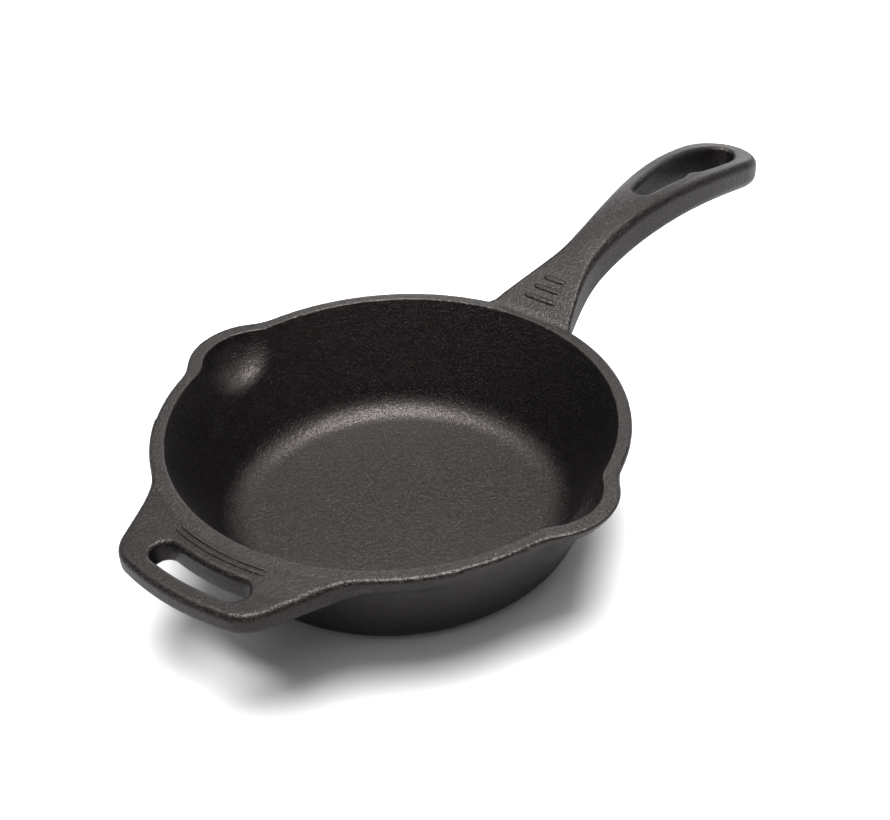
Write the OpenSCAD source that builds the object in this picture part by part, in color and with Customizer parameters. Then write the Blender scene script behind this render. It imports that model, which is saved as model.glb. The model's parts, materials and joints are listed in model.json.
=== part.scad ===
// Cast iron skillet: a round pan with two pour spouts, a slotted helper handle
// and an arched long handle that ends in a hanging loop.
// Millimetres. The resting face is z = 0 and the pan is centred on the origin.
// +X runs along the long handle, +Y is its left side, +Z is up.

/* [Pan] */
// Outer diameter of the rim, spouts not counted
rim_diameter = 160; // [150:1:175]
// Height from the resting face to the top of the rim
pan_height = 43; // [40:1:50]
// Width of the flat rim, which is also the wall thickness
rim_width = 4.6; // [4:0.1:6]
// Thickness of the floor
floor_thickness = 5; // [4:0.5:7]
// Lean of the wall away from vertical, in degrees
wall_draft = 25; // [20:1:27]
// Radius of the bend between floor and wall, inside
inner_bend = 12; // [9:0.5:14]
// Radius of the bend between base and wall, outside
outer_bend = 10; // [8:0.5:12]
// Rounding of the outer edge of the rim
rim_rounding = 1.3; // [0.8:0.1:1.8]
// Height of the rim band above the wall
rim_band = 6; // [5:0.5:8]

/* [Pour spouts] */
// How far a spout stands out past the rim
spout_reach = 7.1; // [5:0.1:8]
// Radius of the spout's outer curve seen from above
spout_radius = 23.4; // [22:0.1:25]
// Half of the angle that a spout takes out of the rim, in degrees
spout_half_angle = 17; // [16:0.5:20]

/* [Helper handle] */
// Reach of the helper handle from the centre of the pan
helper_reach = 103; // [100:0.5:108]
// Thickness of the helper handle
helper_thickness = 7.5; // [6:0.5:8.5]
// How far the top of the helper handle lies below the top of the rim
helper_drop = 0.7; // [0.5:0.1:1]
// Corner radius of the helper handle
helper_corner = 13; // [9:0.5:15]
// Angle between each flank and the centre line, in degrees
helper_flank_angle = 23.75; // [21:0.25:25]
// Distance from the centre of the pan to each flank, square to the flank
helper_flank_distance = 65.5; // [63:0.1:67]
// Radius of the curve that sweeps each flank into the rim
helper_flare = 35; // [30:1:40]
// Width of the curved slot
slot_width = 9.2; // [8:0.2:11]
// Radius of the slot's centre line
slot_radius = 92; // [91:0.2:93]
// Half of the angle between the slot's end centres, in degrees
slot_half_angle = 9.2; // [7:0.2:10]

/* [Long handle] */
// Reach of the long handle from the centre of the pan
handle_reach = 224.5; // [210:0.5:240]
// Width of the handle where it leaves the rim
root_width = 35.6; // [32:0.2:38]
// Width of the handle at its narrowest
neck_width = 15.6; // [13:0.2:18]
// Width of the hanging loop
loop_width = 31.6; // [29:0.2:34]
// Height of the top of the arch above the resting face
arch_height = 61.2; // [56:0.2:66]
// Drop from the top of the arch to its underside
grip_depth = 14; // [12:0.5:16]
// Width of each side bar of the hanging loop
bar_width = 7.2; // [5:0.1:8]

/* [Relief] */
// Height of the raised marks
relief_height = 0.5; // [0.3:0.1:0.8]
// Number of raised ribs on the helper handle
helper_rib_count = 2; // [1:1:2]

/* [Hidden] */
$fn = 96;
over = 1;
lean = tan(wall_draft);
rim_radius = rim_diameter / 2;
rim_inner_radius = rim_radius - rim_width;
rim_bottom = pan_height - rim_band;

// Centres of the four bends in the pan's section
edge_centre = [rim_radius - rim_rounding, pan_height - rim_rounding];
outer_line_shift = (rim_rounding - outer_bend) / cos(wall_draft);
base_radius = edge_centre[0] + outer_line_shift - (edge_centre[1] - outer_bend) * lean;
base_centre = [base_radius, outer_bend];
inner_rise = pan_height - floor_thickness - inner_bend;
floor_radius = rim_inner_radius - inner_rise * lean - inner_bend / cos(wall_draft);
floor_centre = [floor_radius, floor_thickness + inner_bend];
wall_normal = [cos(wall_draft), -sin(wall_draft)];

// Spout spheres: the outer one bulges the wall, the inner one scoops it
spout_tip = rim_radius + spout_reach;
spout_wall = rim_width + 1.3;
spout_bottom = 0.52 * pan_height;
bulge_radius = spout_radius + 2;
bulge_centre = [spout_tip - spout_radius, pan_height + sqrt(pow(bulge_radius, 2) - pow(spout_radius, 2))];
scoop_plan_radius = spout_radius - 4.9;
scoop_radius = scoop_plan_radius + 1.3;
scoop_centre = [spout_tip - spout_wall - scoop_plan_radius,
    pan_height + sqrt(pow(scoop_radius, 2) - pow(scoop_plan_radius, 2))];

// Helper handle: tangent points of its corner and of its flare, which bites a
// little way into the rim so that the two surfaces cross instead of grazing
flare_bite = 0.4;
helper_top = pan_height - helper_drop;
helper_bottom = helper_top - helper_thickness;
corner_centre_reach = helper_reach - helper_corner;
flank_angle = 90 + helper_flank_angle;
corner_angle = flank_angle + acos((helper_flank_distance - helper_corner) / corner_centre_reach);
corner_centre = corner_centre_reach * [cos(corner_angle), sin(corner_angle)];
flare_reach = rim_radius + helper_flare - flare_bite;
flare_angle = flank_angle + acos((helper_flank_distance + helper_flare) / flare_reach);
flare_centre = flare_reach * [cos(flare_angle), sin(flare_angle)];

// Long handle: where its three lengths meet, and where it starts inside the rim
handle_start = rim_radius - 6;
neck_at = rim_radius + 34;
grip_start = rim_radius + 24;
arch_at = rim_radius + 73;
loop_start = arch_at - 8;
loop_widest = handle_reach - 19.5;
eye_start = arch_at - 4.1;
eye_end = handle_reach - 10;
eye_narrow = 3.4;
eye_wide = loop_width / 2 - bar_width;
tip_thickness = 12.4;
tip_top = arch_height - 10.7;
curve_steps = 16;

// ---- Shared outlines ----

// Points of a cubic curve through a and d with handles b and c
function curve(a, b, c, d, steps = curve_steps) = [
    for (i = [0:steps])
        let (t = i / steps, s = 1 - t)
        s * s * s * a + 3 * s * s * t * b + 3 * s * t * t * c + t * t * t * d
];

// Points of an arc about a centre
function arc(centre, radius, from, to, steps = curve_steps) = [
    for (i = [0:steps])
        let (angle = from + (to - from) * i / steps)
        centre + radius * [cos(angle), sin(angle)]
];

function mirrored(points) = [for (i = [len(points) - 1:-1:0]) [points[i][0], -points[i][1]]];

// Section of the pan as if it were solid to the rim
module outer_section() {
    polygon([
        [0, 0],
        [base_radius, 0],
        base_centre + outer_bend * wall_normal,
        edge_centre + rim_rounding * wall_normal,
        [edge_centre[0], pan_height],
        [0, pan_height]
    ]);
    translate(base_centre) circle(outer_bend);
    translate(edge_centre) circle(rim_rounding);
}

// Section of the space inside the pan
module inner_section() {
    polygon([
        [0, floor_thickness],
        [floor_radius, floor_thickness],
        floor_centre + inner_bend * wall_normal,
        [rim_inner_radius + over * lean, pan_height + over],
        [0, pan_height + over]
    ]);
    translate(floor_centre) circle(inner_bend);
}

module solid_pan() {
    rotate_extrude() outer_section();
}

// Ring of the pan's side between two heights
module side_ring(from, to) {
    rotate_extrude()
        intersection() {
            difference() {
                outer_section();
                inner_section();
            }
            translate([floor_radius, from]) square([rim_radius, to - from]);
        }
}

// Wedge that a spout takes out of the rim and the upper wall
module spout_wedge(side) {
    reach = rim_radius + 30;
    half_width = reach * tan(spout_half_angle);
    translate([0, 0, spout_bottom])
        linear_extrude(pan_height + over - spout_bottom)
            polygon([[0, 0], [half_width, side * reach], [-half_width, side * reach]]);
}

// ---- Pan ----

module pan_floor() {
    color("#4a4644") cylinder(h = floor_thickness, r = floor_radius);
}

module pan_wall() {
    color("#3f3b3a")
        difference() {
            side_ring(0, rim_bottom);
            spout_wedge(1);
            spout_wedge(-1);
        }
}

// Half of the rim on the side of x that is given, between the spouts
module rim_half(side) {
    difference() {
        side_ring(rim_bottom, pan_height);
        spout_wedge(1);
        spout_wedge(-1);
        translate([side > 0 ? -2 * rim_radius : 0, -rim_radius, 0])
            cube([2 * rim_radius, rim_diameter, 2 * pan_height]);
    }
}

module rim_helper_side() {
    color("#5b5653") rim_half(-1);
}

module rim_handle_side() {
    color("#5b5653") rim_half(1);
}

module pour_spout(side) {
    difference() {
        intersection() {
            spout_wedge(side);
            union() {
                side_ring(spout_bottom, pan_height);
                translate([0, side * bulge_centre[0], bulge_centre[1]]) sphere(bulge_radius);
            }
            cylinder(h = pan_height, r = rim_radius + spout_reach + over);
        }
        rotate_extrude() inner_section();
        translate([0, side * scoop_centre[0], scoop_centre[1]]) sphere(scoop_radius);
    }
}

module left_pour_spout() {
    color("#554f4d") pour_spout(1);
}

module right_pour_spout() {
    color("#554f4d") pour_spout(-1);
}

// ---- Helper handle ----

// Left half of the edge, from the rim out to the centre line
function helper_edge() = concat(
    [rim_inner_radius * [cos(flare_angle), sin(flare_angle)]],
    arc(flare_centre, helper_flare, flare_angle + 180, flank_angle + 180),
    arc(corner_centre, helper_corner, flank_angle, corner_angle),
    arc([0, 0], helper_reach, corner_angle, 180)
);

// Outline of the curved slot, an arc about the pan's centre with round ends
function slot_edge() =
    let (
        first = 180 - slot_half_angle,
        last = 180 + slot_half_angle,
        outer = slot_radius + slot_width / 2,
        inner = slot_radius - slot_width / 2
    )
    concat(
        arc([0, 0], outer, first, last, 12),
        arc(slot_radius * [cos(last), sin(last)], slot_width / 2, last, last + 180, 12),
        arc([0, 0], inner, last, first, 12),
        arc(slot_radius * [cos(first), sin(first)], slot_width / 2, first - 180, first, 12)
    );

module helper_handle() {
    color("#57524f")
        difference() {
            translate([0, 0, helper_bottom])
                linear_extrude(helper_thickness)
                    polygon(concat(helper_edge(), mirrored(helper_edge())));
            solid_pan();
            linear_extrude(2 * pan_height) polygon(slot_edge());
        }
}

// Plain ribs between the slot and the rim, along arcs about the pan's centre
module helper_relief_marks() {
    color("#6b6562")
        for (i = [0:helper_rib_count - 1])
            let (inner = rim_radius + 1.1 + 2 * i)
                translate([0, 0, helper_top])
                    linear_extrude(relief_height)
                        polygon(concat(
                            arc([0, 0], inner + 1, 180 - 13.5, 180 + 13.5),
                            arc([0, 0], inner, 180 + 13.5, 180 - 13.5)
                        ));
}

// ---- Long handle ----

// Left half of the handle's plan, from the rim to the tip
function handle_edge() = concat(
    curve([handle_start, root_width / 2 + 1.2], [rim_radius + 9, 0.73 * root_width / 2],
        [neck_at - 13, neck_width / 2], [neck_at, neck_width / 2]),
    curve([neck_at, neck_width / 2], [neck_at + 28, neck_width / 2],
        [loop_widest - 33, loop_width / 2], [loop_widest, loop_width / 2]),
    curve([loop_widest, loop_width / 2], [loop_widest + 11, loop_width / 2],
        [handle_reach, 10.5], [handle_reach, 0])
);

// Left half of the eye's plan, from its narrow end to its wide end
function eye_edge() = concat(
    curve([eye_start, 0], [eye_start, 2.8], [eye_start + 2, eye_narrow], [eye_start + 6, eye_narrow + 0.6]),
    curve([eye_start + 6, eye_narrow + 0.6], [eye_start + 22, eye_wide - 2.3],
        [eye_start + 32, eye_wide], [eye_end - 17, eye_wide]),
    curve([eye_end - 17, eye_wide], [eye_end - 6, eye_wide], [eye_end, 5.2], [eye_end, 0])
);

// Side view of the handle, lifted by a small height when marks are made
module handle_side_view(lift = 0) {
    tip_radius = tip_thickness / 2;
    tip_centre = [handle_reach - tip_radius, tip_top - tip_radius];
    belly = arch_height - grip_depth;
    translate([0, lift])
        polygon(concat(
            curve([handle_start, pan_height - 1.5], [rim_radius + 19, pan_height + 10.2],
                [arch_at - 28, arch_height], [arch_at, arch_height]),
            curve([arch_at, arch_height], [arch_at + 24, arch_height],
                [tip_centre[0] - 18.7, tip_top + 4.6], tip_centre + tip_radius * [sin(13), cos(13)]),
            arc(tip_centre, tip_radius, 60, -80),
            curve(tip_centre - tip_radius * [sin(14), cos(14)], [tip_centre[0] - 23, tip_top - 7],
                [arch_at + 25, belly], [arch_at + 6, belly]),
            curve([arch_at + 6, belly], [arch_at - 27, belly],
                [rim_radius + 26, pan_height - 6.8], [handle_start, pan_height - 6])
        ));
}

module handle_side_solid(lift = 0) {
    rotate([90, 0, 0])
        translate([0, 0, -loop_width])
            linear_extrude(2 * loop_width)
                handle_side_view(lift);
}

// The handle between two distances from the centre of the pan
module handle_length(from, to) {
    intersection() {
        linear_extrude(2 * arch_height)
            intersection() {
                polygon(concat(handle_edge(), mirrored(handle_edge())));
                translate([from, -loop_width]) square([to - from, 2 * loop_width]);
            }
        handle_side_solid();
    }
}

module handle_root() {
    color("#57524f")
        difference() {
            handle_length(handle_start, grip_start);
            solid_pan();
        }
}

module handle_grip() {
    color("#524d4b") handle_length(grip_start, loop_start);
}

module hanging_loop() {
    color("#5d5855")
        difference() {
            handle_length(loop_start, handle_reach + over);
            linear_extrude(2 * arch_height) polygon(concat(eye_edge(), mirrored(eye_edge())));
        }
}

module handle_relief_marks() {
    color("#6b6562")
        difference() {
            intersection() {
                handle_side_solid(relief_height);
                for (i = [0:2])
                    translate([rim_radius + 4 + 4.5 * i, -6.6 + 1.2 * i, 0])
                        cube([1.6, 13.2 - 2.4 * i, 2 * arch_height]);
            }
            handle_side_solid();
        }
}

// ---- Nodes ----

pan_floor();
pan_wall();
rim_helper_side();
rim_handle_side();
left_pour_spout();
right_pour_spout();
helper_handle();
helper_relief_marks();
handle_root();
handle_grip();
hanging_loop();
handle_relief_marks();
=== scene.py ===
"""Cast iron skillet: one continuous cast surface, cut into the regions that the CAD nodes stand for."""
import json
import math

import bpy
import numpy as np
from mathutils import Matrix, Vector


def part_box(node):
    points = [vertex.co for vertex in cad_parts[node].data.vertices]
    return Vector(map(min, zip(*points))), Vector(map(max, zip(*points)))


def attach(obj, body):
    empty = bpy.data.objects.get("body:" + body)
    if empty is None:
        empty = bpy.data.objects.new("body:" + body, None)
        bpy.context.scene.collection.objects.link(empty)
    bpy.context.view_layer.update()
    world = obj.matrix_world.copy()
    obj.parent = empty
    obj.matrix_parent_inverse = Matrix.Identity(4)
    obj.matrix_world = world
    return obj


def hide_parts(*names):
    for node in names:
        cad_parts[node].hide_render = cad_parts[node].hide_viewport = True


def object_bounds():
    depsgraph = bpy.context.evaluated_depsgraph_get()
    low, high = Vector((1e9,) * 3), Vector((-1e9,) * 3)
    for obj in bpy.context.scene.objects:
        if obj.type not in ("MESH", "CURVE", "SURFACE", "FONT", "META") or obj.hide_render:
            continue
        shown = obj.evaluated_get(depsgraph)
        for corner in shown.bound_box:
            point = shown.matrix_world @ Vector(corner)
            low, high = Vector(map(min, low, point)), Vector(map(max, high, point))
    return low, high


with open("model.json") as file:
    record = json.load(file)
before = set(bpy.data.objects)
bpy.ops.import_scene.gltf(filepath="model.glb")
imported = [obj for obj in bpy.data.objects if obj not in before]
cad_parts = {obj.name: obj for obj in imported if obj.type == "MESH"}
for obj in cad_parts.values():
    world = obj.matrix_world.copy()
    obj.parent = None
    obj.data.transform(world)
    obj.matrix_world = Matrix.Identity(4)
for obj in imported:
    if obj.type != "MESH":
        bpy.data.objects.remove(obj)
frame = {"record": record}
cad_low, cad_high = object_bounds()

# ---------------------------------------------------------------- sizes, mm

MM = 0.001
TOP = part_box("rim_handle_side")[1].z / MM
RIM_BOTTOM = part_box("rim_handle_side")[0].z / MM
RIM_R = -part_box("rim_helper_side")[0].x / MM
FLOOR_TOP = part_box("pan_floor")[1].z / MM
FLOOR_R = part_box("pan_floor")[1].x / MM
SPOUT_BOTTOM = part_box("left_pour_spout")[0].z / MM
HELPER_REACH = -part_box("helper_handle")[0].x / MM
HELPER_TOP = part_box("helper_handle")[1].z / MM
HELPER_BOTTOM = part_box("helper_handle")[0].z / MM
GRIP_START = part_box("handle_grip")[0].x / MM
LOOP_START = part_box("hanging_loop")[0].x / MM
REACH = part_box("hanging_loop")[1].x / MM
LOOP_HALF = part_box("hanging_loop")[1].y / MM
ARCH_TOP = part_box("hanging_loop")[1].z / MM

# the pan: its wall leans outward by DRAFT, and a sphere swells out of it at each spout
DRAFT = math.radians(25.0)
RIM_WIDTH = 4.6
RIM_ROUNDING = 1.3
INNER_EDGE = 0.6
BASE_BEND = 10.0
FLOOR_BEND = 12.0
SPOUT_HALF_ANGLE = math.radians(17.0)
SPOUT_AT = RIM_R - 16.3
SPOUT_RISE = 12.0
SPOUT_R = 26.6
SPOUT_BLEND = 3.5
SCOOP_INWARD = 1.7
SCOOP_RISE = 4.5
SCOOP_R = 19.8
SCOOP_BLEND = 2.0

# the helper handle: two straight flanks and an end arc, with a slot along an arc about the pan's centre
HELPER_FROM = -45.0
HELPER_OUTLINE_FROM = -50.0
HELPER_TURN = math.radians(0.8)
FLANK_TURN = math.radians(23.75)
FLANK_AT = 65.5
FLANK_CORNER = 13.0
FLANK_CORNER_COS = 0.58
HELPER_FLARE = 4.6
PLATE_UNDER_EDGE = 2.6
PLATE_EXTRA_ROUNDING = 0.9
PLATE_BLEND = 1.6
SLOT_R = 92.0
SLOT_HALF_ANGLE = math.radians(9.2)
SLOT_HALF_WIDTH = 4.6
SLOT_DRAFT = 0.1
SLOT_EDGE = 1.5

# the long handle; what starts with TIP_ is added towards its tip
HANDLE_FROM = RIM_R - 12
HANDLE_ROOM = 40
NECK_AT = RIM_R + 34.0
NECK_HALF = 7.8
ROOT_AT = RIM_R - 6
ROOT_HALF = 19.0
ARCH_AT = RIM_R + 73.0
WIDEST_AT = REACH - 19.5
TIP_TOP = ARCH_TOP - 14.2
BELLY = ARCH_TOP - 14.0
KEEL_ROUNDING = 1.4
NECK_KEEL_ROUNDING = 2.2
TIP_KEEL_ROUNDING = 1.6
TOP_EXTRA_ROUNDING = 1.8
TIP_TOP_ROUNDING = 0.4
HANDLE_BLEND = 1.8
TOP_BLEND = 0.5
SHOULDER_AT = 17.5
SHOULDER_FALL = 0.6
CROWN = 0.7
CROWN_HALF = 9.0
TIP_CROWN_LOSS = 0.4
EYE_START = ARCH_AT - 4.1
EYE_END = REACH - 10.0
EYE_HALF = LOOP_HALF - 7.2
EYE_DRAFT = 0.3
EYE_DRAFT_DEPTH = 13.0
EYE_ROUNDING = 0.8
EYE_TOP_ROUNDING = 1.4
# the cast nub on the eye's right rail and the swell around it: place past the rim, height, length
NUB_AT, NUB_HEIGHT, NUB_LENGTH = 97, 1.5, 3.4
SWELL_AT, SWELL_HEIGHT, SWELL_LENGTH = 96, 0.8, 18

# the distance where a shape takes no part, the handles' border past the rim, and the mesh's cell
FAR = 60.0
SEAM_GAP = 0.2
CELL = 0.8


def curve(a, b, c, d, steps=16):
    """Points along a cubic curve with control points a to d."""
    t = np.linspace(0.0, 1.0, steps + 1)[:, None]
    s = 1.0 - t
    a, b, c, d = (np.array(p, float) for p in (a, b, c, d))
    return s ** 3 * a + 3 * s * s * t * b + 3 * s * t * t * c + t ** 3 * d


def chain(*parts):
    """Joins curves that share their end points."""
    return np.concatenate([parts[0]] + [p[1:] for p in parts[1:]])


# outlines of the long handle: half widths in plan, and heights along it
HANDLE_EDGE = chain(
    curve((ROOT_AT, ROOT_HALF), (RIM_R + 9, 13.0), (NECK_AT - 13, NECK_HALF), (NECK_AT, NECK_HALF)),
    curve(
        (NECK_AT, NECK_HALF), (NECK_AT + 28, NECK_HALF),
        (WIDEST_AT - 33, LOOP_HALF), (WIDEST_AT, LOOP_HALF),
    ),
    curve((WIDEST_AT, LOOP_HALF), (WIDEST_AT + 11, LOOP_HALF), (REACH, 10.5), (REACH, 0)),
)
EYE_EDGE = chain(
    curve((EYE_START, 0), (EYE_START, 2.8), (EYE_START + 2, 3.4), (EYE_START + 6, 4.0)),
    curve(
        (EYE_START + 6, 4.0), (EYE_START + 22, EYE_HALF - 2.3),
        (EYE_START + 32, EYE_HALF), (EYE_END - 17, EYE_HALF),
    ),
    curve((EYE_END - 17, EYE_HALF), (EYE_END - 6, EYE_HALF), (EYE_END, 5.2), (EYE_END, 0)),
)
HANDLE_TOP = chain(
    curve((ROOT_AT, TOP - 1.5), (RIM_R + 19, TOP + 10.2), (ARCH_AT - 28, ARCH_TOP), (ARCH_AT, ARCH_TOP)),
    curve(
        (ARCH_AT, ARCH_TOP), (ARCH_AT + 26, ARCH_TOP),
        (REACH - 21.5, TIP_TOP + 7.2), (REACH, TIP_TOP + 2.2),
    ),
)
HANDLE_UNDER = chain(
    curve((ROOT_AT, TOP - 6.0), (RIM_R + 26, TOP - 6.8), (ARCH_AT - 27, BELLY), (ARCH_AT + 6, BELLY)),
    curve(
        (ARCH_AT + 6, BELLY), (ARCH_AT + 27, BELLY),
        (REACH - 25.5, TIP_TOP - 4.4), (REACH, TIP_TOP - 10.9),
    ),
)

# ---------------------------------------------------------------- the cast shape as a distance field, mm


def round_max(a, b, r, c=0.0):
    """Where both a and b are inside, with an edge of radius r; c is the cosine between their normals."""
    a, b = a + r, b + r
    corner = (a > c * b) & (b > c * a)
    round_edge = np.sqrt(np.maximum(a * a + b * b - 2 * c * a * b, 0) / (1 - c * c))
    return np.where(corner, round_edge, np.maximum(a, b)) - r


def soft_min(a, b, k):
    """The smaller of a and b, blended where they differ by less than k."""
    h = np.maximum(k - np.abs(a - b), 0) / k
    return np.minimum(a, b) - h * h * k / 4


def soft_max(a, b, k):
    return -soft_min(-a, -b, k)


def step(a, b, x):
    """A smooth rise from 0 at a to 1 at b."""
    t = np.clip((x - a) / (b - a), 0, 1)
    return t * t * (3 - 2 * t)


def edge_distance(x, y, edge):
    """Signed distance to an outline that is mirrored in y = 0 and ends on it, negative inside."""
    y = np.abs(y)
    best = np.full(np.shape(x), 1e9)
    for (ax, ay), (bx, by) in zip(edge[:-1], edge[1:]):
        dx, dy = bx - ax, by - ay
        t = np.clip(((x - ax) * dx + (y - ay) * dy) / (dx * dx + dy * dy), 0, 1)
        best = np.minimum(best, (x - ax - t * dx) ** 2 + (y - ay - t * dy) ** 2)
    inside = (y < np.interp(x, edge[:, 0], edge[:, 1])) & (x > edge[0, 0]) & (x < edge[-1, 0])
    return np.where(inside, -1.0, 1.0) * np.sqrt(best)


def line_height(x, line):
    return np.interp(x, line[:, 0], line[:, 1])


def line_slope(x, line):
    mid = (line[1:, 0] + line[:-1, 0]) / 2
    return np.interp(x, mid, np.diff(line[:, 1]) / np.diff(line[:, 0]))


def plan_fields(x, y):
    """What depends on the plan position alone."""
    r = np.hypot(x, y)
    ay = np.abs(y)
    flank = -math.sin(FLANK_TURN) * x + math.cos(FLANK_TURN) * ay - FLANK_AT
    helper = round_max(r - HELPER_REACH, flank, FLANK_CORNER, FLANK_CORNER_COS)
    helper = np.maximum(helper, x - HELPER_OUTLINE_FROM)
    turn = np.abs(np.arctan2(y, -x) + HELPER_TURN)
    past_end = r * r + SLOT_R ** 2 - 2 * SLOT_R * r * np.cos(turn - SLOT_HALF_ANGLE)
    past_end = np.sqrt(np.maximum(past_end, 0.0))
    slot = np.where(turn < SLOT_HALF_ANGLE, np.abs(r - SLOT_R), past_end) - SLOT_HALF_WIDTH
    handle = np.full(np.shape(x), FAR)
    eye = np.full(np.shape(x), FAR)
    near = (x > HANDLE_FROM) & (ay < HANDLE_ROOM)
    handle[near] = edge_distance(x[near], y[near], HANDLE_EDGE)
    eye[near] = edge_distance(x[near], y[near], EYE_EDGE)
    return r, ay, helper, slot, handle, eye


def field(x, y, z, plan=None):
    """Distance to the cast surface, negative inside the iron."""
    r, ay, helper, slot, handle, eye = plan if plan is not None else plan_fields(x, y)
    lean, cos, sin = math.tan(DRAFT), math.cos(DRAFT), math.sin(DRAFT)
    on_helper = x < HELPER_FROM
    # wall, with the two spouts swelling out of it
    edge_r, edge_z = RIM_R - RIM_ROUNDING, TOP - RIM_ROUNDING
    wall = (r - edge_r - (z - edge_z) * lean) * cos - RIM_ROUNDING
    bulge = np.sqrt(x * x + (ay - SPOUT_AT) ** 2 + (z - TOP - SPOUT_RISE) ** 2) - SPOUT_R
    wall = soft_min(wall, bulge, SPOUT_BLEND)
    side = round_max(wall, -z, BASE_BEND, sin)
    # helper handle: its outline flares into the wall
    flared = np.where(on_helper, soft_min(wall, helper, HELPER_FLARE), FAR)
    plate = round_max(flared, HELPER_BOTTOM - z, PLATE_UNDER_EDGE)
    side = soft_min(side, plate, PLATE_BLEND)
    # long handle: its underside is rounded more towards the tip
    under = line_height(x, HANDLE_UNDER)
    under_cos = 1 / np.sqrt(1 + line_slope(x, HANDLE_UNDER) ** 2)
    tip = step(LOOP_START, REACH - 20, x)
    keel = KEEL_ROUNDING + NECK_KEEL_ROUNDING * step(RIM_R + 4, RIM_R + 45, x)
    keel = keel + TIP_KEEL_ROUNDING * tip
    bar = round_max(handle, (under - z) * under_cos, keel)
    side = soft_min(side, bar, HANDLE_BLEND)
    # one top surface over rim and handles: the long handle's is crowned, and falls off beside the root
    crest = line_height(x, HANDLE_TOP) - SHOULDER_FALL * np.maximum(ay - SHOULDER_AT, 0)
    crown = (CROWN - TIP_CROWN_LOSS * tip) * step(RIM_R + 16, NECK_AT, x)
    crest = crest - crown * np.minimum(ay / CROWN_HALF, 1.0) ** 2
    crest = np.where(x > ROOT_AT, crest, 0.0)
    height = soft_max(np.full(np.shape(x), TOP), crest, TOP_BLEND)
    height = np.where(x > RIM_R + 2, crest, height)
    drop = (TOP - HELPER_TOP) * step(RIM_R - 1.5, RIM_R + 12, r) * on_helper
    slope = np.where(x > RIM_R - 1, line_slope(x, HANDLE_TOP), 0.0)
    top = (z - height + drop) / np.sqrt(1 + slope ** 2)
    rounding = RIM_ROUNDING + TOP_EXTRA_ROUNDING * step(RIM_R + 2, RIM_R + 42, x)
    rounding = rounding + TIP_TOP_ROUNDING * tip
    rounding = rounding + PLATE_EXTRA_ROUNDING * step(RIM_R + 1, RIM_R + 7, r) * on_helper
    solid = round_max(side, top, rounding, -sin * (1 - step(RIM_R, RIM_R + 4, r)))
    # slot and eye, narrower below, with one cast nub on the eye's right rail
    depth = height - z
    solid = round_max(solid, -slot - SLOT_DRAFT * depth, SLOT_EDGE)
    nub = NUB_HEIGHT * np.exp(-((x - RIM_R - NUB_AT) / NUB_LENGTH) ** 2)
    nub = nub + SWELL_HEIGHT * np.exp(-((x - RIM_R - SWELL_AT) / SWELL_LENGTH) ** 2)
    nub = nub * (y < 0)
    eye = eye + nub + EYE_DRAFT * line_height(x, EYE_EDGE) * step(0.0, EYE_DRAFT_DEPTH, depth)
    solid = round_max(solid, -eye, EYE_ROUNDING + EYE_TOP_ROUNDING * step(9, 5, depth))
    # inside of the pan, with the spouts' channels
    inner = (r - (RIM_R - RIM_WIDTH) - (z - TOP) * lean) * cos
    scoop = np.sqrt(x * x + (ay - SPOUT_AT + SCOOP_INWARD) ** 2 + (z - TOP - SCOOP_RISE) ** 2) - SCOOP_R
    inner = soft_min(inner, scoop, SCOOP_BLEND)
    hollow = round_max(inner, FLOOR_TOP - z, FLOOR_BEND, sin)
    return round_max(solid, -hollow, INNER_EDGE, sin)


def gradient(p, e=0.04):
    g = np.empty_like(p)
    for k in range(3):
        d = np.zeros(3)
        d[k] = e
        hi, lo = p + d, p - d
        g[:, k] = (field(*hi.T) - field(*lo.T)) / (2 * e)
    return g


def settle(p, steps=3, reach=0.5, flattest=0.2):
    """Moves points onto the surface along its normals, each step by at most reach on an axis."""
    for _ in range(steps):
        g = gradient(p)
        move = field(*p.T)[:, None] * g / np.maximum((g * g).sum(1), flattest)[:, None]
        p = p - np.clip(move, -reach, reach)
    return p


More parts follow.
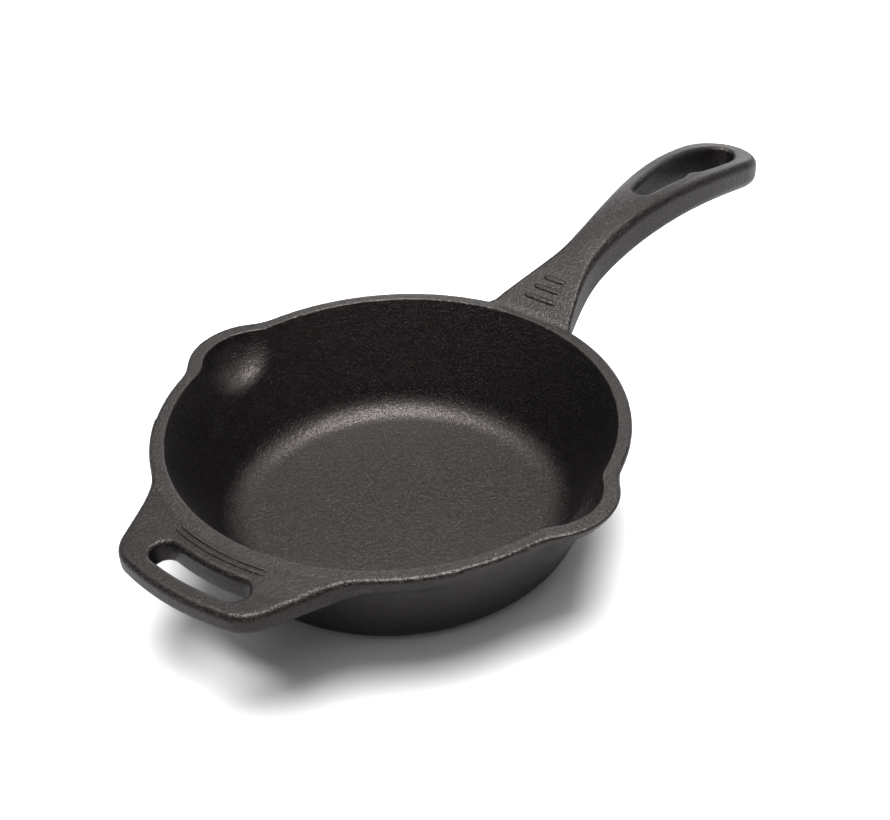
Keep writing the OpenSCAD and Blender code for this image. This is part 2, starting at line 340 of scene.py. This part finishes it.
def cast_surface(cell):
    """Surface nets over the field: one vertex in each cell that the surface crosses."""
    margin = 2.5 * cell
    low = np.array(cad_low) / MM - margin
    n = np.ceil((np.array(cad_high) / MM + margin - low) / cell).astype(int) + 1
    gx, gy, gz = (low[k] + cell * np.arange(n[k]) for k in range(3))
    X, Y = np.meshgrid(gx, gy, indexing="ij")
    plan = [a.astype(np.float32) for a in plan_fields(X, Y)]
    X, Y = X.astype(np.float32), Y.astype(np.float32)
    F = np.stack([field(X, Y, np.float32(z), plan) for z in gz], axis=2)
    inside = F < 0
    corner = [(i, j, k) for i in (0, 1) for j in (0, 1) for k in (0, 1)]
    count = sum(
        inside[i:n[0] - 1 + i, j:n[1] - 1 + j, k:n[2] - 1 + k].astype(np.int8)
        for i, j, k in corner
    )
    cells = np.argwhere((count > 0) & (count < 8))
    index = np.full(n - 1, -1, np.int64)
    index[tuple(cells.T)] = np.arange(len(cells))
    value = {c: F[tuple((cells + c).T)] for c in corner}
    total, hits = np.zeros((len(cells), 3)), np.zeros(len(cells))
    for a in corner:
        for k in range(3):
            if a[k]:
                continue
            b = tuple(1 if i == k else a[i] for i in range(3))
            fa, fb = value[a].astype(float), value[b].astype(float)
            cross = (fa < 0) != (fb < 0)
            t = np.where(cross, fa / np.where(cross, fa - fb, 1), 0)
            point = np.array(a, float) + t[:, None] * (np.array(b) - np.array(a))
            total += point * cross[:, None]
            hits += cross
    verts = low + cell * (cells + total / hits[:, None])
    quads = []
    for k in range(3):
        u, v = (k + 1) % 3, (k + 2) % 3
        lo = [slice(1, -1)] * 3
        lo[k] = slice(0, -1)
        hi = list(lo)
        hi[k] = slice(1, None)
        a, b = inside[tuple(lo)], inside[tuple(hi)]
        for flip, mask in ((False, a & ~b), (True, ~a & b)):
            at = np.argwhere(mask)
            at[:, u] += 1
            at[:, v] += 1
            ring = []
            for du, dv in ((-1, -1), (0, -1), (0, 0), (-1, 0)):
                c = at.copy()
                c[:, u] += du
                c[:, v] += dv
                ring.append(index[tuple(c.T)])
            q = np.stack(ring, 1)
            quads.append(q[:, ::-1] if flip else q)
    return settle(verts), np.concatenate(quads)


def split_quads(verts, quads):
    """Two triangles per quad, along its shorter diagonal."""
    d0 = np.linalg.norm(verts[quads[:, 0]] - verts[quads[:, 2]], axis=1)
    d1 = np.linalg.norm(verts[quads[:, 1]] - verts[quads[:, 3]], axis=1)
    a, b = quads[d0 <= d1], quads[d0 > d1]
    return np.concatenate([a[:, [0, 1, 2]], a[:, [0, 2, 3]], b[:, [0, 1, 3]], b[:, [1, 2, 3]]])


def cut(verts, tris, f, snap=0.12):
    """Adds an edge line along f = 0, so that pieces part cleanly there."""
    f = np.where(np.abs(f) < snap, 0.0, f)
    s = np.sign(f)[tris]
    crossing = (s.min(1) < 0) & (s.max(1) > 0)
    keep, work = tris[~crossing], tris[crossing]
    if not len(work):
        return verts, tris
    edges = np.sort(np.concatenate([work[:, [0, 1]], work[:, [1, 2]], work[:, [2, 0]]]), axis=1)
    edges = edges[f[edges[:, 0]] * f[edges[:, 1]] < 0]
    edges, where = np.unique(edges, axis=0, return_inverse=True)
    fa, fb = f[edges[:, 0]], f[edges[:, 1]]
    t = (fa / (fa - fb))[:, None]
    new = verts[edges[:, 0]] * (1 - t) + verts[edges[:, 1]] * t
    number = {tuple(e): len(verts) + i for i, e in enumerate(edges.tolist())}
    out = []
    for a, b, c in work.tolist():
        ring = []
        for p, q in ((a, b), (b, c), (c, a)):
            ring.append((p, f[p]))
            if f[p] * f[q] < 0:
                ring.append((number[(p, q) if p < q else (q, p)], 0.0))
        for sign in (1, -1):
            part = [v for v, value in ring if value * sign >= 0]
            out += [(part[0], part[i], part[i + 1]) for i in range(1, len(part) - 1)]
    return np.concatenate([verts, new]), np.concatenate([keep, np.array(out)])


verts, quads = cast_surface(CELL)
tris = split_quads(verts, quads)
# the borders between the CAD nodes
for line in (
    lambda p: p[:, 2] - RIM_BOTTOM,
    lambda p: p[:, 2] - SPOUT_BOTTOM,
    lambda p: np.abs(p[:, 0]) - np.abs(p[:, 1]) * math.tan(SPOUT_HALF_ANGLE),
    lambda p: np.hypot(p[:, 0], p[:, 1]) - FLOOR_R,
    lambda p: np.hypot(p[:, 0], p[:, 1]) - RIM_R - SEAM_GAP,
    lambda p: p[:, 0] - GRIP_START,
    lambda p: p[:, 0] - LOOP_START,
):
    verts, tris = cut(verts, tris, line(verts))
normals = gradient(verts)
normals /= np.linalg.norm(normals, axis=1)[:, None]

centre = verts[tris].mean(1)
cx, cy, cz = centre.T
cr = np.hypot(cx, cy)
out_of_rim = cr > RIM_R + SEAM_GAP
in_spout = (np.abs(cx) < np.abs(cy) * math.tan(SPOUT_HALF_ANGLE)) & (cz > SPOUT_BOTTOM)
region = np.full(len(tris), "pan_wall", dtype=object)
region[cr < FLOOR_R] = "pan_floor"
region[(cz > RIM_BOTTOM) & (cx < 0)] = "rim_helper_side"
region[(cz > RIM_BOTTOM) & (cx > 0)] = "rim_handle_side"
region[out_of_rim & (cx < 0)] = "helper_handle"
region[out_of_rim & (cx > 0)] = "handle_root"
region[in_spout & (cy > 0)] = "left_pour_spout"
region[in_spout & (cy < 0)] = "right_pour_spout"
region[cx > GRIP_START] = "handle_grip"
region[cx > LOOP_START] = "hanging_loop"

# ---------------------------------------------------------------- materials

# noise scales, per metre
SAND, PEBBLE, BROAD = 1900, 650, 45
BROAD_DEPTH = 0.0002
SKIN_TONE = (0.0016, 0.0015, 0.0014)
TINT = (1.0, 0.88, 0.85, 1)
FULL_SPECULAR = 0.5
# the normal's outward part (-1 faces the pan's axis) where dulling starts and where it is full
DULL_FROM, DULL_FULL = -0.66, -0.84


def cast_iron(name, ior, grain, painted_glint, dull=FULL_SPECULAR, rough=0.30):
    """Seasoned cast iron: near-black oiled skin over sand-cast grain.

    grain is the pebbles' depth in metres, the argument after it the brightness of the painted glints
    (pale specks painted into the base colour in place of glints off the sand), and dull the specular
    level where the pan's inside is steep.
    """
    m = bpy.data.materials.new(name)
    m.use_nodes = True
    nt = m.node_tree
    nt.nodes.clear()
    node, link = nt.nodes.new, nt.links.new
    out, skin = node("ShaderNodeOutputMaterial"), node("ShaderNodeBsdfPrincipled")
    link(skin.outputs["BSDF"], out.inputs["Surface"])
    where = node("ShaderNodeTexCoord")

    def noise(scale, detail, roughness):
        n = node("ShaderNodeTexNoise")
        n.inputs["Scale"].default_value = scale
        n.inputs["Detail"].default_value = detail
        n.inputs["Roughness"].default_value = roughness
        link(where.outputs["Object"], n.inputs["Vector"])
        return n.outputs["Fac"]

    def ramp(value, stops):
        r = node("ShaderNodeValToRGB")
        while len(r.color_ramp.elements) < len(stops):
            r.color_ramp.elements.new(0.5)
        for e, (at, colour) in zip(r.color_ramp.elements, stops):
            e.position = at
            e.color = (*colour, 1) if isinstance(colour, tuple) else (colour, colour, colour, 1)
        link(value, r.inputs["Fac"])
        return r.outputs["Color"]

    def combine(kind, operation, *values):
        n = node(kind)
        n.operation = operation
        for value, socket in zip(values, n.inputs):
            if isinstance(value, tuple):
                socket.default_value = value
            else:
                link(value, socket)
        return n

    sand, pebble, broad = noise(SAND, 1, 0.5), noise(PEBBLE, 2, 0.5), noise(BROAD, 3, 0.6)
    # colour: darker and paler pebbles, with the odd painted glint: sparse pale specks painted into the
    # base colour in place of glints off the sand grain
    tones = [tuple(k * c for c in SKIN_TONE) for k in (0.65, 1.0, 1.5)]
    pebble_tone = ramp(pebble, tuple(zip((0.3, 0.5, 0.72), tones)))
    # painted glints: the sand noise's peaks turn into pale specks in the base colour
    glint_specks = ramp(sand, ((0.58, 0.0), (0.72, painted_glint)))
    tone_and_glints = combine("ShaderNodeVectorMath", "ADD", pebble_tone, glint_specks)
    link(tone_and_glints.outputs[0], skin.inputs["Base Color"])
    mixed = combine("ShaderNodeMath", "ADD", pebble, broad)
    link(ramp(mixed.outputs[0], ((0.35, rough - 0.07), (0.65, rough + 0.08))), skin.inputs["Roughness"])
    skin.inputs["IOR"].default_value = ior
    skin.inputs["Specular Tint"].default_value = TINT
    if dull < FULL_SPECULAR:
        flat = combine("ShaderNodeVectorMath", "MULTIPLY", where.outputs["Object"], (1, 1, 0))
        away = combine("ShaderNodeVectorMath", "NORMALIZE", flat.outputs[0])
        outward = combine("ShaderNodeVectorMath", "DOT_PRODUCT", where.outputs["Normal"], away.outputs[0])
        level = node("ShaderNodeMapRange")
        level.inputs["From Min"].default_value = DULL_FULL
        level.inputs["From Max"].default_value = DULL_FROM
        level.inputs["To Min"].default_value = dull
        level.inputs["To Max"].default_value = FULL_SPECULAR
        link(outward.outputs["Value"], level.inputs["Value"])
        link(level.outputs["Result"], skin.inputs["Specular IOR Level"])
    # relief: slow waves, pebbles and sand, one bump over the other
    grit = ramp(sand, ((0.52, 0.0), (0.68, 1.0)))
    relief = None
    for height, distance in ((broad, BROAD_DEPTH), (pebble, grain), (grit, grain * 0.7)):
        bump = node("ShaderNodeBump")
        link(height, bump.inputs["Height"])
        bump.inputs["Strength"].default_value = 1.0
        bump.inputs["Distance"].default_value = distance
        if relief:
            link(relief, bump.inputs["Normal"])
        relief = bump.outputs["Normal"]
    link(relief, skin.inputs["Normal"])
    return m


# the specks' value in each material is the brightness of its painted glints, brightest on the floor
MATERIALS = {
    "cast_iron_floor": cast_iron("iron_floor", ior=1.55, grain=0.00020, painted_glint=0.032),
    "cast_iron_wall": cast_iron("iron_wall", ior=1.54, grain=0.00018, painted_glint=0.006, dull=0.34),
    "cast_iron_rim": cast_iron("iron_rim", ior=1.55, grain=0.00018, painted_glint=0.008, dull=0.34),
    "cast_iron_handles": cast_iron("iron_handles", ior=1.46, grain=0.00017, painted_glint=0.012),
}
SLOTS = {s["node"]: s["material_slot"] for s in frame["record"]["subparts"]}


def dress(obj, node):
    """Puts a piece in the scene, in its node's place and material."""
    bpy.context.scene.collection.objects.link(obj)
    obj.data.materials.append(MATERIALS[SLOTS[node]])
    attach(obj, "root")
    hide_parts(node)


# ---------------------------------------------------------------- pieces

for name in sorted(set(region)):
    part = tris[region == name]
    used, where = np.unique(part, return_inverse=True)
    mesh = bpy.data.meshes.new("cast_" + name)
    mesh.from_pydata((verts[used] * MM).tolist(), [], where.reshape(-1, 3).tolist())
    mesh.shade_smooth()
    mesh.normals_split_custom_set_from_vertices(normals[used].tolist())
    dress(bpy.data.objects.new("cast_" + name, mesh), name)


def surface_height(x, y, guess, above=1.5, steps=12):
    """Height of the cast top surface above plan positions, reached from just above the guess."""
    x, y = np.array(x, float), np.array(y, float)
    z = np.full(len(x), guess + above)
    for _ in range(steps):
        z = z - field(x, y, z)
    return z


# a bar's edge as (outward in mm, up in parts of its height), from its foot to its crown
MARK_SIDES = 32
MARK_PROFILE = ((0.5, -0.9), (0.42, 0.0), (0.22, 0.22), (0.02, 0.68), (-0.2, 0.93), (-0.5, 1.0))


def raised_mark(x, z, tilt, length, width, height):
    """Corners of one soft-edged raised bar across the handle, as rings from its foot up to its crown."""
    rings = []
    for grow, up in MARK_PROFILE:
        a, b = length / 2 + grow, width / 2 + grow
        ring = []
        for i in range(MARK_SIDES):
            t = 2 * math.pi * i / MARK_SIDES
            px = a * math.copysign(abs(math.cos(t)) ** 0.5, math.cos(t))
            py = b * math.copysign(abs(math.sin(t)) ** 0.5, math.sin(t))
            ring.append((px, py, up * height))
        rings.append(ring)
    place = Matrix.Translation((x, 0, z)) @ Matrix.Rotation(tilt, 4, "Y")
    points = [place @ Vector(p) * MM for ring in rings for p in ring]
    n, last = MARK_SIDES, MARK_SIDES * (len(MARK_PROFILE) - 1)
    faces = [
        (k * n + i, k * n + (i + 1) % n, (k + 1) * n + (i + 1) % n, (k + 1) * n + i)
        for k in range(len(MARK_PROFILE) - 1) for i in range(n)
    ]
    faces += [tuple(range(last, last + n)), tuple(reversed(range(n)))]
    return points, faces


# one side of a rib's section as (across, up), in parts of its half width and of its height
RIB_STEPS = 48
RIB_HALF_ANGLE = math.radians(13.5)
RIB_FOOT = -0.9
RIB_SIDE = ((1.0, RIB_FOOT), (0.85, 0.0), (0.62, 0.6), (0.25, 0.95))
RIB_PROFILE = tuple((-across, up) for across, up in RIB_SIDE) + RIB_SIDE[::-1]


def raised_rib(radius, width, height):
    """Corners of one plain raised rib along an arc about the pan's centre, fading out at both ends."""
    sections = []
    for i in range(RIB_STEPS + 1):
        along = 2 * i / RIB_STEPS - 1
        turn = math.pi + HELPER_TURN + RIB_HALF_ANGLE * along
        fade = math.sqrt(1 - abs(along) ** 16)
        for across, up in RIB_PROFILE:
            r = radius + across * width / 2
            rise = fade * up + RIB_FOOT * (1 - fade)
            sections.append((r * math.cos(turn), r * math.sin(turn), height * rise))
    x, y, lift = np.array(sections).T
    z = surface_height(x, y, TOP) + lift
    points = [Vector(p) * MM for p in zip(x.tolist(), y.tolist(), z.tolist())]
    n = len(RIB_PROFILE)
    faces = [
        (k * n + i, (k + 1) * n + i, (k + 1) * n + (i + 1) % n, k * n + (i + 1) % n)
        for k in range(RIB_STEPS) for i in range(n)
    ]
    faces += [tuple(range(n)), tuple(reversed(range(RIB_STEPS * n, RIB_STEPS * n + n)))]
    return points, faces


def marks(node, shapes):
    """One piece made of several closed raised shapes."""
    points, faces = [], []
    for p, f in shapes:
        faces += [tuple(len(points) + i for i in face) for face in f]
        points += p
    mesh = bpy.data.meshes.new("raised_" + node)
    mesh.from_pydata(points, [], faces)
    mesh.shade_smooth()
    dress(bpy.data.objects.new("raised_" + node, mesh), node)


RELIEF = 0.4
# place past the rim and spacing of the marks
RIB_AT, RIB_PITCH, RIB_WIDTH = 1.6, 2, 1.1
BAR_AT, BAR_PITCH, BAR_LENGTH = 4.8, 4.5, 1.6
BAR_WIDTH, BAR_TAPER = 13.2, 2.4

helper_ribs = [raised_rib(RIM_R + RIB_AT + RIB_PITCH * i, RIB_WIDTH, RELIEF) for i in range(2)]
marks("helper_relief_marks", helper_ribs)

root_bars = []
for i in range(3):
    x = RIM_R + BAR_AT + BAR_PITCH * i
    z = float(surface_height([x], [0], line_height(x, HANDLE_TOP))[0])
    tilt = -math.atan(float(line_slope(x, HANDLE_TOP)))
    root_bars.append(raised_mark(x, z, tilt, BAR_LENGTH, BAR_WIDTH - BAR_TAPER * i, RELIEF))
marks("handle_relief_marks", root_bars)

# ---------------------------------------------------------------- floor, light, camera

FLOOR_SIDES, FLOOR_REACH, FLOOR_AT = 96, 0.85, 0.04
PAPER, PAPER_SEEN = 0.58, 0.97
FILL, FILL_SEEN = 0.19, 1


def seen_and_lit(tree, shader, output, lit, seen):
    """One plain grey for what the lights and reflections meet, and another for what the camera sees."""
    tree.nodes.clear()
    mix = tree.nodes.new("ShaderNodeMixShader")
    path = tree.nodes.new("ShaderNodeLightPath")
    tree.links.new(path.outputs["Is Camera Ray"], mix.inputs["Fac"])
    for socket, grey in ((1, lit), (2, seen)):
        plain = tree.nodes.new(shader)
        plain.inputs["Color"].default_value = (grey, grey, grey, 1)
        tree.links.new(plain.outputs[0], mix.inputs[socket])
    tree.links.new(mix.outputs[0], tree.nodes.new(output).inputs["Surface"])


turns = [2 * math.pi * i / FLOOR_SIDES for i in range(FLOOR_SIDES)]
floor_edge = [(FLOOR_AT + FLOOR_REACH * math.cos(t), FLOOR_REACH * math.sin(t), 0) for t in turns]
floor_mesh = bpy.data.meshes.new("studio_floor")
floor_mesh.from_pydata(floor_edge, [], [range(FLOOR_SIDES)])
floor = bpy.data.objects.new("studio_floor", floor_mesh)
bpy.context.scene.collection.objects.link(floor)
paper = bpy.data.materials.new("studio_paper")
paper.use_nodes = True
seen_and_lit(paper.node_tree, "ShaderNodeBsdfDiffuse", "ShaderNodeOutputMaterial", PAPER, PAPER_SEEN)
floor.data.materials.append(paper)

world = bpy.data.worlds.new("studio")
bpy.context.scene.world = world
world.use_nodes = True
seen_and_lit(world.node_tree, "ShaderNodeBackground", "ShaderNodeOutputWorld", FILL, FILL_SEEN)

# the camera's bearing, height and tilt about its own axis
AZIMUTH, ELEVATION, ROLL = math.radians(-49.485), math.radians(35.89), math.radians(-3.227)
back = Vector((
    math.sin(AZIMUTH) * math.cos(ELEVATION),
    -math.cos(AZIMUTH) * math.cos(ELEVATION),
    math.sin(ELEVATION),
))
front = Vector((back.x, back.y, 0)).normalized()
side = Vector((-front.y, front.x, 0))
LIGHT_AIM = Vector((0.04, 0, 0.03))


def softbox(name, turn, height, distance, size, level):
    """A round soft light.

    turn is from the camera's side towards its right and height is above the horizon, both in
    degrees; level is the light's own brightness, whatever its size.
    """
    t, h = math.radians(turn), math.radians(height)
    light = bpy.data.lights.new(name, "AREA")
    light.shape = "DISK"
    light.size = size
    light.energy = math.pi ** 2 * (size / 2) ** 2 * level
    obj = bpy.data.objects.new(name, light)
    way = (front * math.cos(t) + side * math.sin(t)) * math.cos(h) + Vector((0, 0, math.sin(h)))
    obj.location = LIGHT_AIM + way * distance
    obj.rotation_euler = way.to_track_quat("Z", "Y").to_euler()
    obj.visible_camera = False
    bpy.context.scene.collection.objects.link(obj)


softbox("overhead", turn=180, height=86, distance=1.5, size=1.3, level=12.4)
softbox("mid_back", turn=176, height=21, distance=1.7, size=0.5, level=0.8)
softbox("low_back", turn=180, height=12, distance=1.8, size=0.6, level=3.8)
softbox("low_right", turn=158, height=9, distance=1.8, size=0.6, level=3.0)
softbox("back_right", turn=130, height=48, distance=1.5, size=0.8, level=1.3)
softbox("back_left", turn=-130, height=48, distance=1.5, size=0.8, level=1.5)
softbox("front", turn=0, height=62, distance=1.5, size=0.7, level=1.5)

CAMERA_AIM = Vector((0.0388, 0.0092, 0.020))
CAMERA_DISTANCE = 0.5901
SENSOR, LENS = 36, 66.55
CLIP = 0.01, 50

scene = bpy.context.scene
scene.view_settings.view_transform = "Standard"
camera = bpy.data.objects.new("camera", bpy.data.cameras.new("camera"))
scene.collection.objects.link(camera)
camera.data.sensor_width = SENSOR
camera.data.lens = LENS
camera.data.clip_start, camera.data.clip_end = CLIP
right = (-back).cross(Vector((0, 0, 1))).normalized()
up = right.cross(-back)
right, up = right * math.cos(ROLL) + up * math.sin(ROLL), up * math.cos(ROLL) - right * math.sin(ROLL)
facing = Matrix((right, up, back)).transposed().to_4x4()
camera.matrix_world = Matrix.Translation(CAMERA_AIM + back * CAMERA_DISTANCE) @ facing
scene.camera = camera
